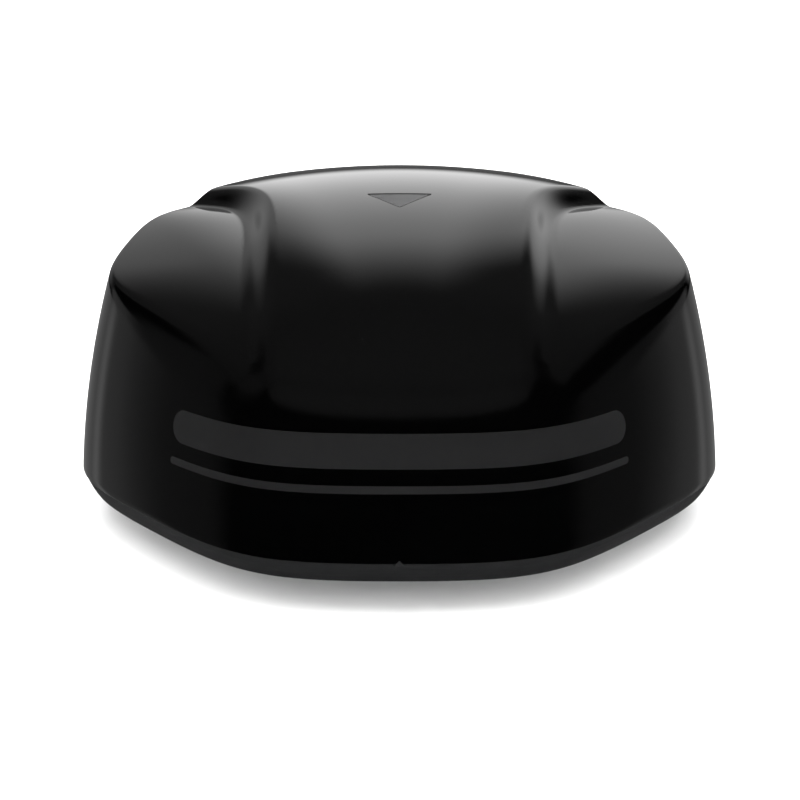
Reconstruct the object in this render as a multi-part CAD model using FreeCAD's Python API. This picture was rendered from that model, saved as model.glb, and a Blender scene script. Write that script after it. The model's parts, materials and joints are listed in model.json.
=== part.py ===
import FreeCAD, Part
import math
import os

os.makedirs("parts", exist_ok=True)
V = FreeCAD.Vector

# ---------------------------------------------------------------- driving dimensions (mm)
HALF_FLAT = 254.5          # half the width across the flats at the seam
HALF_DIAG = 251.5          # half the width across the corner faces
CORNER_POWER = 13.2        # sharpness of the rounded octagon's corners
SEAM_Z = 38.3              # lower edge of the cover
DRAFT_LINEAR = 0.084       # wall lean per mm of height
DRAFT_SQUARE = 0.000754    # extra lean towards the top
WALL = 3.2                 # cover thickness
SEAM_GAP = 0.5             # gap between the cover and the base rim
EDGE_Z = 23.3              # lower visible edge of the base
EDGE_INSET = 7.7           # that edge, inside the seam line
NIB_TOP = 40.6             # tip of the alignment mark at the front of the rim
FLOOR_Z = 5.0              # inside floor of the base
PAN_INSET = 102.0          # flat underside, inside the seam line
MOUNT_X = 233.0            # mounting holes, side to side
MOUNT_Y = 141.5            # mounting holes, front to back
PITCH = 3.0                # drive belt tooth pitch
BIG_TEETH = 80
SMALL_TEETH = 20
BELT_TEETH = 114
BELT_Z = 52.0              # underside of the drive belt
BELT_HIGH = 9.0
PANEL_HALF = 204.0         # half the length of the rotating array
PANEL_Y = -34.0            # face of the array's back plate, in front of the turning axis
PANEL_LOW = 74.0
PANEL_HIGH = 138.0

BIG_R = BIG_TEETH * PITCH / (2 * math.pi)
SMALL_R = SMALL_TEETH * PITCH / (2 * math.pi)


# ---------------------------------------------------------------- formulas of the outside
def plan_radius(angle):
    """Rounded octagon: distance from the axis to the seam line."""
    total = 0.0
    for side in range(8):
        reach = HALF_FLAT if side % 2 == 0 else HALF_DIAG
        facing = max(0.0, math.cos(angle - side * math.pi / 4))
        total += (facing / reach) ** CORNER_POWER
    return total ** (-1.0 / CORNER_POWER)


def wall_inset(z):
    """How far the wall leans inwards at a height."""
    rise = max(z - SEAM_Z, 0.0)
    return DRAFT_LINEAR * rise + DRAFT_SQUARE * rise * rise


def ease(t):
    t = min(max(t, 0.0), 1.0)
    return t * t * (3.0 - 2.0 * t)


def front_dip(y):
    return 9.0 * (max(0.0, -y - 150.0) / 86.0) ** 2


def shoulder_height(y):
    """Height of the crease between wall and top, from front to back."""
    return 203.5 + 0.159 * y - 0.000405 * y * y - front_dip(y)


def roof_height(y):
    """Height of the raised middle along the centre line."""
    return 235.5 + 0.2 * y - 0.0008 * y * y - front_dip(y)


def roof_half_width(y):
    """Half width of the raised middle, flaring out towards the back."""
    t = max(y + 150.0, 0.0) / 258.0
    return 124.0 + 0.113 * y + 60.0 * t ** 7


def top_height(x, y):
    """Height of the cover's top at any point."""
    angle = math.atan2(y, x)
    reach = plan_radius(angle) - (33.5 + 15.0 * math.sin(angle))
    share = min(math.hypot(x, y) / reach, 1.2)
    low = shoulder_height(y)
    high = roof_height(y)
    swell = 12.0 * math.tanh(max(high - low, 0.0) / 12.0)
    shoulder = low + swell * (1.0 - share * share)
    roof = high - 0.0006 * x * x * ease((y + 236.0) / 120.0)
    t = max(y + 150.0, 0.0) / 258.0
    flare = 0.113 + 420.0 / 258.0 * t ** 6
    outside = (abs(x) - roof_half_width(y)) / math.sqrt(1.0 + flare * flare)
    return shoulder + (roof - shoulder) * ease(-outside / 22.0)


# ---------------------------------------------------------------- solid helpers
def box(x0, x1, y0, y1, z0, z1):
    return Part.makeBox(x1 - x0, y1 - y0, z1 - z0, V(x0, y0, z0))


def rod(r, x, y, z0, z1):
    return Part.makeCylinder(r, z1 - z0, V(x, y, z0))


def tube(r_out, r_in, x, y, z0, z1):
    return rod(r_out, x, y, z0, z1).cut(rod(r_in, x, y, z0 - 1, z1 + 1))


def bar(r, start, end):
    axis = V(*end) - V(*start)
    return Part.makeCylinder(r, axis.Length, V(*start), axis)


def rounded(x0, x1, y0, y1, z0, z1, r):
    """Plate with rounded upright corners."""
    solid = box(x0, x1, y0, y1, z0, z1)
    upright = [e for e in solid.Edges if abs(e.Vertexes[0].Z - e.Vertexes[1].Z) > 0.5 * (z1 - z0)]
    return solid.makeFillet(r, upright)


def fused(shapes):
    whole = shapes[0]
    if len(shapes) > 1:
        whole = whole.multiFuse(shapes[1:])
    return whole.removeSplitter()


def turned(profile):
    """Ring from a list of (radius, z) corners, about the upright axis."""
    corners = [V(r, 0, z) for r, z in profile]
    face = Part.Face(Part.makePolygon(corners + corners[:1]))
    return face.revolve(V(0, 0, 0), V(0, 0, 1), 360)


def outline(inset, z, count=96):
    """Closed curve parallel to the seam line."""
    points = []
    for k in range(count):
        angle = 2 * math.pi * k / count
        r = plan_radius(angle) - inset
        points.append(V(r * math.cos(angle), r * math.sin(angle), z))
    curve = Part.BSplineCurve()
    curve.interpolate(Points=points, PeriodicFlag=True)
    return Part.Wire(curve.toShape())


def stack(levels, ruled=True):
    """Solid through outlines, each given as (inset, z)."""
    return Part.makeLoft([outline(inset, z) for inset, z in levels], True, ruled)


def ring(inset_out, inset_in, z0, z1):
    """Band that follows the seam line."""
    outer = stack([(inset_out, z0), (inset_out, z1)])
    inner = stack([(inset_in, z0 - 1), (inset_in, z1 + 1)])
    return outer.cut(inner)


def rim_spots(inset, turn=22.5, count=8):
    """Evenly spread points along the rim."""
    spots = []
    for k in range(count):
        angle = math.radians(turn + 360.0 / count * k)
        r = plan_radius(angle) - inset
        spots.append((r * math.cos(angle), r * math.sin(angle)))
    return spots


def cable(points, r):
    """Round cable along straight runs joined by tangent arcs, each as large as its runs allow."""
    route = [V(*p) for p in points]
    edges = []
    start = route[0]
    tightest = 1000.0
    for before, corner, after in zip(route, route[1:], route[2:]):
        back = (before - corner).normalize()
        ahead = (after - corner).normalize()
        half_turn = (math.pi - back.getAngle(ahead)) / 2
        reach = 0.45 * min((before - corner).Length, (after - corner).Length)
        radius = reach / math.tan(half_turn)
        tightest = min(tightest, radius)
        arc_start = corner + back * reach
        arc_end = corner + ahead * reach
        middle = (back + ahead).normalize()
        centre = corner + middle * (radius / math.cos(half_turn))
        edges.append(Part.LineSegment(start, arc_start).toShape())
        edges.append(Part.Arc(arc_start, centre - middle * radius, arc_end).toShape())
        start = arc_end
    edges.append(Part.LineSegment(start, route[-1]).toShape())
    path = Part.Wire(edges)
    section = Part.Wire(Part.makeCircle(r, route[0], route[1] - route[0]))
    tube_solid = path.makePipeShell([section], True, False)
    share = tube_solid.Volume / (math.pi * r * r * path.Length)
    print("tightest bend", round(tightest, 1), "volume share", round(share, 4))
    return tube_solid


def export(name, shape):
    if isinstance(shape, (list, tuple)):
        shape = Part.makeCompound(list(shape))
    shape.exportStep("parts/%s.step" % name)
    print(name, len(shape.Solids), round(shape.Volume), shape.isValid())


def cap_screw(x, y, z_seat, r, length, up=1):
    """Socket head screw, head on the seat, shank pointing away from it."""
    head_r = 1.75 * r
    head_h = 1.6 * r
    if up > 0:
        head = rod(head_r, x, y, z_seat, z_seat + head_h)
        socket = hexagon(x, y, 0.85 * r, z_seat + 0.5 * head_h, z_seat + head_h + 1)
        shank = rod(r, x, y, z_seat - length, z_seat)
    else:
        head = rod(head_r, x, y, z_seat - head_h, z_seat)
        socket = hexagon(x, y, 0.85 * r, z_seat - head_h - 1, z_seat - 0.5 * head_h)
        shank = rod(r, x, y, z_seat, z_seat + length)
    return fused([head.cut(socket), shank])


def hexagon(x, y, r, z0, z1):
    corners = []
    for k in range(7):
        angle = math.radians(60 * k)
        corners.append(V(x + r * math.cos(angle), y + r * math.sin(angle), z0))
    return Part.Face(Part.makePolygon(corners)).extrude(V(0, 0, z1 - z0))


def triangle(half, z0, z1, inset0, inset1):
    """Small upright wedge at the front of the rim."""
    y = -(HALF_FLAT - inset0)
    corners = [V(-half, y, z0), V(half, y, z0), V(0, y, z1)]
    return Part.Face(Part.makePolygon(corners + corners[:1])).extrude(V(0, inset1 - inset0, 0))


def facing_y(solid, z):
    """Turn an upright solid about X at height z so that up becomes backwards."""
    turned_solid = solid.copy()
    turned_solid.rotate(V(0, 0, z), V(1, 0, 0), -90)
    return turned_solid


# ---------------------------------------------------------------- cover
WALL_LEVELS = (SEAM_Z, 60, 85, 110, 135, 160, 185, 210, 235, 265)
SURFACE_HALF = 264.0
SURFACE_STEPS = 66


def above_top(lower):
    """Everything above the top surface, moved down by a distance."""
    grid = []
    for i in range(SURFACE_STEPS + 1):
        x = -SURFACE_HALF + 2 * SURFACE_HALF * i / SURFACE_STEPS
        row = []
        for j in range(SURFACE_STEPS + 1):
            y = -SURFACE_HALF + 2 * SURFACE_HALF * j / SURFACE_STEPS
            row.append(V(x, y, top_height(x, y) - lower))
        grid.append(row)
    surface = Part.BSplineSurface()
    surface.interpolate(grid)
    return surface.toShape().extrude(V(0, 0, 260))


cover_outside = stack([(wall_inset(z), z) for z in WALL_LEVELS], ruled=False).cut(above_top(0.0))
inside_levels = [(wall_inset(z) + WALL, z) for z in WALL_LEVELS]
inside_levels[0] = (WALL, SEAM_Z - 1)
cover_inside = stack(inside_levels, ruled=False).cut(above_top(WALL * 1.05))
cover = cover_outside.cut(cover_inside)
FLANGE_INSET = 24.0
BOSS_INSET = 17.0
flange = ring(WALL - 0.6, FLANGE_INSET, SEAM_Z, SEAM_Z + 5.0)
screw_spots = rim_spots(BOSS_INSET)
cover_parts = [cover, flange]
for x, y in screw_spots:
    cover_parts.append(rod(6.0, x, y, SEAM_Z + 4.0, SEAM_Z + 14.0))
for angle in range(0, 360, 15):
    turn = math.radians(angle)
    reach = plan_radius(turn)
    rib = box(reach - FLANGE_INSET + 3.0, reach - 3.4, -1.1, 1.1, SEAM_Z + 4.0, SEAM_Z + 11.0)
    rib.rotate(V(0, 0, 0), V(0, 0, 1), angle)
    if (angle * 2) % 45 != 0 or angle % 45 == 0:
        cover_parts.append(rib)
cover = fused(cover_parts)
for x, y in screw_spots:
    cover = cover.cut(rod(4.0, x, y, SEAM_Z - 1, SEAM_Z + 11.0))
cover = cover.cut(triangle(3.8, SEAM_Z - 1.0, NIB_TOP + 0.6, -1.0, 6.0))
export("radome_cover", cover)

inserts = [tube(4.0, 2.54, x, y, SEAM_Z + 0.4, SEAM_Z + 10.8) for x, y in screw_spots]
export("cover_inserts", inserts)

# arrow that marks the front, laid on the top
ARROW_HALF = 25.8
ARROW_BACK = 16.0
ARROW_TIP = -18.0
ARROW_THICK = 0.3
arrow_corners = [V(-ARROW_HALF, ARROW_BACK, 180), V(ARROW_HALF, ARROW_BACK, 180), V(0, ARROW_TIP, 180)]
arrow_face = Part.Face(Part.makePolygon(arrow_corners + arrow_corners[:1]))
arrow = arrow_face.extrude(V(0, 0, 100)).cut(above_top(-ARROW_THICK)).common(above_top(0.0))
export("heading_arrow", arrow)

# ---------------------------------------------------------------- base
RIM_Z = SEAM_Z - SEAM_GAP
outer_base = [(PAN_INSET, 0.0), (PAN_INSET - 4.0, 0.6), (30.0, 17.2), (16.0, 19.8)]
outer_base += [(10.6, 21.2), (8.6, 22.3), (EDGE_INSET, EDGE_Z), (6.6, 25.0), (4.6, 28.6)]
outer_base += [(2.6, 33.0), (1.2, RIM_Z)]
inner_base = [(PAN_INSET + 4.0, FLOOR_Z), (PAN_INSET - 2.0, FLOOR_Z + 0.6), (34.0, 21.2)]
inner_base += [(26.0, 23.4), (24.0, 26.0), (24.0, RIM_Z + 1.0)]
base = stack(outer_base).cut(stack(inner_base))

# recess in the rear underside with the two connectors
RECESS_HALF = 62.0
RECESS_FRONT = 150.0
RECESS_BACK = 214.0
RECESS_TOP = 29.0
housing_half = RECESS_HALF + 4.0
housing = rounded(-housing_half, housing_half, RECESS_FRONT - 5, RECESS_BACK + 6, 3.0, RECESS_TOP + 4, 6)
housing = housing.common(stack([(PAN_INSET, 0.0), (20.0, 19.0), (10.0, 23.0), (10.0, RIM_Z)]))
recess = rounded(-RECESS_HALF, RECESS_HALF, RECESS_FRONT, RECESS_BACK, -2.0, RECESS_TOP, 5)

bosses = []
mount_spots = [(sx * MOUNT_X / 2, sy * MOUNT_Y / 2) for sx in (-1, 1) for sy in (-1, 1)]
for x, y in mount_spots:
    bosses.append(rod(11.0, x, y, 2.0, 24.0))

# posts for the boards, the drive plate and the bearing housing
DRIVE_Y = 0.0
PLATE_Z = 44.0
plate_posts = [(-33.0, 30.0), (33.0, 30.0), (-33.0, 108.0), (33.0, 108.0)]
for x, y in plate_posts:
    bosses.append(rod(6.0, x, y, 2.0, PLATE_Z))
MAIN_BOARD = (-98.0, 98.0, -138.0, -52.0)
POWER_BOARD = (46.0, 132.0, -38.0, 46.0)
BOARD_Z = 14.0
board_posts = []
for x0, x1, y0, y1 in (MAIN_BOARD, POWER_BOARD):
    for x in (x0 + 6, x1 - 6):
        for y in (y0 + 6, y1 - 6):
            board_posts.append((x, y))
for x, y in board_posts:
    bosses.append(rod(4.0, x, y, 2.0, BOARD_Z))
BEARING_FOOT_R = 29.0
bearing_spots = []
for k in range(4):
    angle = math.radians(45 + 90 * k)
    bearing_spots.append((BEARING_FOOT_R * math.cos(angle), BEARING_FOOT_R * math.sin(angle)))
bosses.append(rod(38.0, 0, 0, 2.0, 8.0))
ribs = []
for angle in (20, 60, 120, 160, 200, 240, 300, 340):
    rib = box(34.0, 142.0, -1.5, 1.5, 2.0, 7.4)
    rib.rotate(V(0, 0, 0), V(0, 0, 1), angle)
    ribs.append(rib)
lugs = [rod(8.5, x, y, 15.0, RIM_Z) for x, y in screw_spots]
lug_limit = stack([(60.0, 10.0), (30.0, 17.2), (16.0, 19.8), (8.0, 23.0), (4.0, RIM_Z)])
lugs = [lug.common(lug_limit) for lug in lugs]
base = fused([base, housing] + bosses + ribs + lugs)
base = fused([base, triangle(3.2, RIM_Z - 1.0, NIB_TOP, 1.4, 4.5)])

cuts = [recess]
for x, y in mount_spots:
    cuts.append(rod(6.5, x, y, -1, 18.0))
for x, y in plate_posts:
    cuts.append(rod(2.05, x, y, PLATE_Z - 14, PLATE_Z + 1))
for x, y in board_posts:
    cuts.append(rod(1.3, x, y, BOARD_Z - 8, BOARD_Z + 1))
for x, y in bearing_spots:
    cuts.append(rod(2.05, x, y, 1.8, 9.0))
for x, y in screw_spots:
    cuts.append(rod(2.9, x, y, 10.0, RIM_Z + 1))
    cuts.append(rod(6.0, x, y, 10.0, 27.0))
GROOVE_OUT = 6.0
GROOVE_IN = 9.6
cuts.append(ring(GROOVE_OUT, GROOVE_IN, RIM_Z - 2.4, RIM_Z + 1))
PORT_Z = 15.0
NET_X = -30.0
POWER_X = 30.0
for x in (NET_X, POWER_X):
    cuts.append(facing_y(rod(8.2, x, 0, -20, 20), 0).translated(V(0, RECESS_FRONT, PORT_Z)))
VENT = (-88.0, 100.0)
cuts.append(rod(6.2, VENT[0], VENT[1], -1, 9.0))
SENSE_FEET = ((-120.0, -22.0), (-120.0, 20.0))
for x, y in SENSE_FEET:
    cuts.append(rod(1.3, x, y, 1.8, 9.0))
cuts.append(rod(9.0, 0, 0, -1, 3.0))
base = base.cut(Part.makeCompound(cuts))
export("base_housing", base)

gasket = ring(GROOVE_OUT + 0.1, GROOVE_IN - 0.1, RIM_Z - 2.4, RIM_Z + 0.15)
export("cover_gasket", gasket)
export("mounting_inserts", [tube(6.5, 3.4, x, y, 0.3, 17.0) for x, y in mount_spots])

# captive cover screws, driven from below
screws = []
seals = []
for x, y in screw_spots:
    screws.append(cap_screw(x, y, 25.4, 2.45, 20.0, up=-1))
    seals.append(tube(5.2, 2.5, x, y, 25.4, 27.0))
export("cover_screws", screws)
export("screw_seals", seals)

# ---------------------------------------------------------------- connectors and vent
def connector(x, pins, pin_r, circle_r):
    """Round bulkhead connector: body, ring nut and contacts, mouth to the rear."""
    body = [tube(8.0, 6.2, x, 0, -9.0, 9.0), rod(8.0, x, 0, -9.0, 0.0), tube(11.0, 7.0, x, 0, 1.8, 4.2)]
    body += [tube(8.35, 7.6, x, 0, z, z + 0.7) for z in (5.2, 6.7, 8.2)]
    body = fused(body)
    contacts = []
    for k in range(pins):
        angle = 2 * math.pi * k / pins
        px = x + circle_r * math.cos(angle)
        py = circle_r * math.sin(angle)
        body = body.cut(rod(pin_r, px, py, -10, 1))
        contacts.append(rod(pin_r, px, py, -12, 6.5))
    nut = hexagon(x, 0, 11.5, -9.4, -5.4).cut(rod(8.05, x, 0, -12, 2))
    seal = tube(10.4, 8.25, x, 0, 0.1, 1.7)
    return body, nut, seal, contacts


def place_port(solid):
    placed = facing_y(solid, 0)
    placed.translate(V(0, RECESS_FRONT, PORT_Z))
    return placed


net_body, net_nut, net_seal, net_pins = connector(NET_X, 8, 0.5, 3.6)
pow_body, pow_nut, pow_seal, pow_pins = connector(POWER_X, 4, 0.9, 3.2)
export("network_connector", place_port(net_body))
export("power_connector", place_port(pow_body))
export("connector_nuts", [place_port(net_nut), place_port(pow_nut)])
export("connector_seals", [place_port(net_seal), place_port(pow_seal)])
export("connector_pins", [place_port(p) for p in net_pins + pow_pins])

vent_x, vent_y = VENT
vent = fused([rod(6.0, vent_x, vent_y, 1.0, 9.0), rod(9.0, vent_x, vent_y, 5.4, 7.6)])
vent = vent.cut(rod(2.0, vent_x, vent_y, 0, 12))
vent = vent.cut(rod(4.4, vent_x, vent_y, 7.8, 12))
export("breather_vent", vent)
export("vent_membrane", rod(4.3, vent_x, vent_y, 7.85, 8.4))

# ---------------------------------------------------------------- bearing housing and shaft
SHAFT_R = 8.5
BEARING_R = 17.5
TOWER_TOP = 50.0
tower = turned([(BEARING_R, 8.0), (36.0, 8.0), (36.0, 12.0), (26.0, 12.0), (23.0, 18.0),
                (23.0, TOWER_TOP), (BEARING_R, TOWER_TOP)])
tower = tower.fuse(tube(BEARING_R + 1, 15.2, 0, 0, 22.0, 38.0)).removeSplitter()
for x, y in bearing_spots:
    tower = tower.cut(rod(2.3, x, y, 7, 13))
    tower = tower.cut(rod(4.4, x, y, 12.0, 20.0))
export("bearing_housing", tower)


def bearing(z0):
    """Deep groove ball bearing, 17 x 35 x 10."""
    groove = Part.makeTorus(13.0, 2.55, V(0, 0, z0 + 5))
    outer = tube(BEARING_R - 0.02, 14.8, 0, 0, z0, z0 + 10).cut(groove)
    inner = tube(11.2, SHAFT_R + 0.005, 0, 0, z0, z0 + 10).cut(groove)
    balls = []
    for k in range(9):
        angle = math.radians(40 * k)
        centre = V(13.0 * math.cos(angle), 13.0 * math.sin(angle), z0 + 5)
        balls.append(Part.makeSphere(2.48, centre))
    return outer, inner, balls


low_outer, low_inner, low_balls = bearing(12.0)
top_outer, top_inner, top_balls = bearing(38.0)
export("bearing_outer_races", [low_outer, top_outer])
export("bearing_inner_races", [low_inner, top_inner])
export("bearing_balls", low_balls + top_balls)

shaft = turned([(4.5, 10.0), (SHAFT_R, 10.0), (SHAFT_R, 49.0), (12.0, 49.0), (12.0, 50.6),
                (SHAFT_R, 50.6), (SHAFT_R, 66.0), (4.5, 66.0)])
shaft = shaft.cut(tube(12, 7.9, 0, 0, 22.6, 23.8))
export("main_shaft", shaft)
clip = tube(10.6, 7.95, 0, 0, 22.65, 23.75).cut(box(-1.8, 1.8, 0, 12, 20, 26))
export("shaft_circlip", clip)

# ---------------------------------------------------------------- drive
OPEN_LENGTH = BELT_TEETH * PITCH


def belt_length(distance):
    lean = math.asin((BIG_R - SMALL_R) / distance)
    straight = 2 * distance * math.cos(lean)
    return straight + math.pi * (BIG_R + SMALL_R) + 2 * lean * (BIG_R - SMALL_R)


near, far = 60.0, 140.0
for _ in range(60):
    MOTOR_Y = (near + far) / 2
    if belt_length(MOTOR_Y) < OPEN_LENGTH:
        near = MOTOR_Y
    else:
        far = MOTOR_Y
LEAN = math.asin((BIG_R - SMALL_R) / MOTOR_Y)
STRAIGHT = MOTOR_Y * math.cos(LEAN)
SMALL_WRAP = SMALL_R * (math.pi - 2 * LEAN)
BIG_WRAP = BIG_R * (math.pi + 2 * LEAN)


def belt_point(s, out):
    """Point on the belt's pitch line at length s, moved outwards."""
    s = s % OPEN_LENGTH
    if s < SMALL_WRAP:
        angle = LEAN + s / SMALL_R
        return V((SMALL_R + out) * math.cos(angle), MOTOR_Y + (SMALL_R + out) * math.sin(angle), BELT_Z)
    s -= SMALL_WRAP
    left = math.pi - LEAN
    if s < STRAIGHT:
        share = s / STRAIGHT
        x = (SMALL_R + (BIG_R - SMALL_R) * share + out) * math.cos(left)
        y = (SMALL_R + (BIG_R - SMALL_R) * share + out) * math.sin(left) + MOTOR_Y * (1 - share)
        return V(x, y, BELT_Z)
    s -= STRAIGHT
    if s < BIG_WRAP:
        angle = left + s / BIG_R
        return V((BIG_R + out) * math.cos(angle), (BIG_R + out) * math.sin(angle), BELT_Z)
    s -= BIG_WRAP
    share = s / STRAIGHT
    x = (BIG_R + (SMALL_R - BIG_R) * share + out) * math.cos(LEAN)
    y = (BIG_R + (SMALL_R - BIG_R) * share + out) * math.sin(LEAN) + MOTOR_Y * share
    return V(x, y, BELT_Z)


TOOTH_PROFILE = ((-0.62, -0.36), (-0.46, -1.12), (0.46, -1.12), (0.62, -0.36))
belt_inner = []
belt_outer = []
for k in range(BELT_TEETH):
    for along, out in TOOTH_PROFILE:
        belt_inner.append(belt_point(k * PITCH + along, out))
    belt_outer.append(belt_point(k * PITCH - 0.5, 0.75))
    belt_outer.append(belt_point(k * PITCH + 1.0, 0.75))
outer_face = Part.Face(Part.makePolygon(belt_outer + belt_outer[:1]))
inner_face = Part.Face(Part.makePolygon(belt_inner + belt_inner[:1]))
belt = outer_face.extrude(V(0, 0, BELT_HIGH)).cut(inner_face.extrude(V(0, 0, BELT_HIGH)))
export("drive_belt", belt)


def pulley(teeth, x, y, first, bore, z0, z1):
    """Toothed pulley; first is the direction of one groove."""
    r = teeth * PITCH / (2 * math.pi)
    corners = []
    for k in range(teeth):
        angle = first + 2 * math.pi * k / teeth
        for along, out in ((-0.86, -0.42), (-0.66, -1.24), (0.66, -1.24), (0.86, -0.42)):
            turn = angle + along / r
            corners.append(V(x + (r + out) * math.cos(turn), y + (r + out) * math.sin(turn), z0))
    wheel = Part.Face(Part.makePolygon(corners + corners[:1])).extrude(V(0, 0, z1 - z0))
    return wheel.cut(rod(bore, x, y, z0 - 1, z1 + 1))


big_phase = math.pi - LEAN + (PITCH - (SMALL_WRAP + STRAIGHT) % PITCH) / BIG_R
driven = pulley(BIG_TEETH, 0, 0, big_phase, SHAFT_R + 0.01, BELT_Z - 0.6, BELT_Z + BELT_HIGH + 0.8)
driven = fused([driven, tube(BIG_R + 1.6, 30, 0, 0, BELT_Z - 1.4, BELT_Z - 0.5)])
for k in range(6):
    angle = math.radians(60 * k)
    driven = driven.cut(rod(7.0, 21.5 * math.cos(angle), 21.5 * math.sin(angle), 40, 70))
magnet_x = 32.5 * math.cos(math.radians(200))
magnet_y = 32.5 * math.sin(math.radians(200))
driven = driven.cut(rod(2.0, magnet_x, magnet_y, 49, BELT_Z + 1.5))
TURN_TOP = BELT_Z + BELT_HIGH + 0.8
bracket_holes = []
for degrees in (30, 150, 270):
    angle = math.radians(degrees)
    bracket_holes.append((21.0 * math.cos(angle), 21.0 * math.sin(angle)))
for x, y in bracket_holes:
    driven = driven.cut(rod(1.55, x, y, TURN_TOP - 8, TURN_TOP + 1))
export("driven_pulley", driven)
export("index_magnet", rod(1.95, magnet_x, magnet_y, BELT_Z - 0.9, BELT_Z + 1.4))

motor_pulley = pulley(SMALL_TEETH, 0, MOTOR_Y, LEAN, 2.505, BELT_Z - 0.6, BELT_Z + BELT_HIGH + 0.8)
motor_pulley = fused([motor_pulley, tube(SMALL_R + 1.6, 2.505, 0, MOTOR_Y, BELT_Z - 1.4, BELT_Z - 0.5)])
motor_pulley = fused([motor_pulley, tube(6.0, 2.505, 0, MOTOR_Y, TURN_TOP - 0.1, TURN_TOP + 4.0)])
motor_pulley = motor_pulley.cut(bar(1.2, (0, MOTOR_Y, TURN_TOP + 2), (0, MOTOR_Y + 10, TURN_TOP + 2)))
export("motor_pulley", motor_pulley)

# plate that carries the motor, on four posts
plate = rounded(-40, 40, 24, 117, PLATE_Z, PLATE_Z + 3.0, 7)
plate = plate.fuse(box(-40, -37.5, 40, 98, PLATE_Z - 10, PLATE_Z + 0.5))
plate = plate.fuse(box(37.5, 40, 40, 98, PLATE_Z - 10, PLATE_Z + 0.5)).removeSplitter()
plate = plate.cut(rod(24.5, 0, 0, 40, 50))
plate = plate.cut(rod(11.3, 0, MOTOR_Y, 40, 50))
motor_holes = [(sx * 15.5, MOTOR_Y + sy * 15.5) for sx in (-1, 1) for sy in (-1, 1)]
for x, y in motor_holes:
    slot_ends = [rod(1.7, x, y - 2, 40, 50), rod(1.7, x, y + 2, 40, 50)]
    plate = plate.cut(fused(slot_ends + [box(x - 1.7, x + 1.7, y - 2, y + 2, 40, 50)]))
for x, y in plate_posts:
    plate = plate.cut(rod(2.3, x, y, 40, 50))
export("drive_plate", plate)
frame_screws = [cap_screw(x, y, PLATE_Z + 3.0, 2.0, 9.5) for x, y in plate_posts]
frame_screws += [cap_screw(x, y, 12.0, 2.0, 9.5) for x, y in bearing_spots]
export("frame_screws", frame_screws)

MOTOR_LOW = 9.5
body = box(-21.1, 21.1, MOTOR_Y - 21.1, MOTOR_Y + 21.1, MOTOR_LOW, PLATE_Z - 0.05)
corner_edges = [e for e in body.Edges if abs(e.Vertexes[0].Z - e.Vertexes[1].Z) > 20]
body = body.makeChamfer(3.6, corner_edges)
body = body.fuse(rod(11.0, 0, MOTOR_Y, PLATE_Z - 1, PLATE_Z + 2.0)).removeSplitter()
for z in (MOTOR_LOW + 8.0, PLATE_Z - 9.0):
    band = box(-30, 30, MOTOR_Y - 30, MOTOR_Y + 30, z, z + 0.8)
    band = band.cut(box(-20.6, 20.6, MOTOR_Y - 20.6, MOTOR_Y + 20.6, z - 1, z + 2))
    body = body.cut(band)
for x, y in motor_holes:
    body = body.cut(rod(1.3, x, y, PLATE_Z - 6, PLATE_Z + 1))
body = body.cut(rod(2.9, 0, MOTOR_Y, MOTOR_LOW + 4, PLATE_Z + 5))
socket_box = box(-27, -21, MOTOR_Y - 8, MOTOR_Y + 8, MOTOR_LOW + 0.5, MOTOR_LOW + 7)
socket_box = socket_box.cut(box(-28, -22.5, MOTOR_Y - 6.5, MOTOR_Y + 6.5, MOTOR_LOW + 2, MOTOR_LOW + 5.5))
export("stepper_motor", fused([body, socket_box]))
export("motor_shaft", rod(2.5, 0, MOTOR_Y, MOTOR_LOW + 5, TURN_TOP + 4.5))
small_screws = [cap_screw(x, y, PLATE_Z + 3.0, 1.25, 7.0) for x, y in motor_holes]

# ---------------------------------------------------------------- electronics in the base
def board(area, z, holes_inset=6):
    x0, x1, y0, y1 = area
    sheet = rounded(x0, x1, y0, y1, z, z + 1.6, 3)
    for x in (x0 + holes_inset, x1 - holes_inset):
        for y in (y0 + holes_inset, y1 - holes_inset):
            sheet = sheet.cut(rod(1.7, x, y, z - 1, z + 3))
    return sheet


BOARD_TOP = BOARD_Z + 1.6
export("main_board", board(MAIN_BOARD, BOARD_Z))
export("power_board", board(POWER_BOARD, BOARD_Z))
small_screws += [cap_screw(x, y, BOARD_TOP, 1.25, 7.0) for x, y in board_posts]

shield = rounded(-38, 38, -128, -76, BOARD_TOP, BOARD_TOP + 9, 2)
shield = shield.cut(rounded(-37, 37, -127, -77, BOARD_TOP - 1, BOARD_TOP + 8, 1))
for i in range(9):
    for j in range(5):
        shield = shield.cut(rod(1.5, -28 + 7 * i, -116 + 7 * j, BOARD_TOP + 7, BOARD_TOP + 10))
export("shield_can", shield)
sink = box(50, 86, -122, -86, BOARD_TOP + 2.0, BOARD_TOP + 5.0)
for k in range(9):
    sink = sink.fuse(box(50 + 4.2 * k, 52 + 4.2 * k, -122, -86, BOARD_TOP + 4.5, BOARD_TOP + 15))
export("processor_heat_sink", sink.removeSplitter())
chips = [box(52, 84, -120, -88, BOARD_TOP, BOARD_TOP + 2.0)]
chips += [box(-88 + 17 * k, -76 + 17 * k, -84, -72, BOARD_TOP, BOARD_TOP + 1.4) for k in range(3)]
chips += [box(-30 + 16 * k, -20 + 16 * k, -70, -62, BOARD_TOP, BOARD_TOP + 1.8) for k in range(5)]
chips += [box(-24 + 22 * k, -12 + 22 * k, -116, -104, BOARD_TOP, BOARD_TOP + 1.4) for k in range(3)]
export("board_chips", chips)
capacitors = []
for x, y in ((60, -26), (76, -26), (92, -26)):
    capacitors.append(rod(6.2, x, y, BOARD_TOP, BOARD_TOP + 18))
for x, y in ((118, 30), (118, 18), (-84, -122), (-84, -108)):
    capacitors.append(rod(4.0, x, y, BOARD_TOP, BOARD_TOP + 11))
export("capacitors", capacitors)
inductors = []
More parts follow.
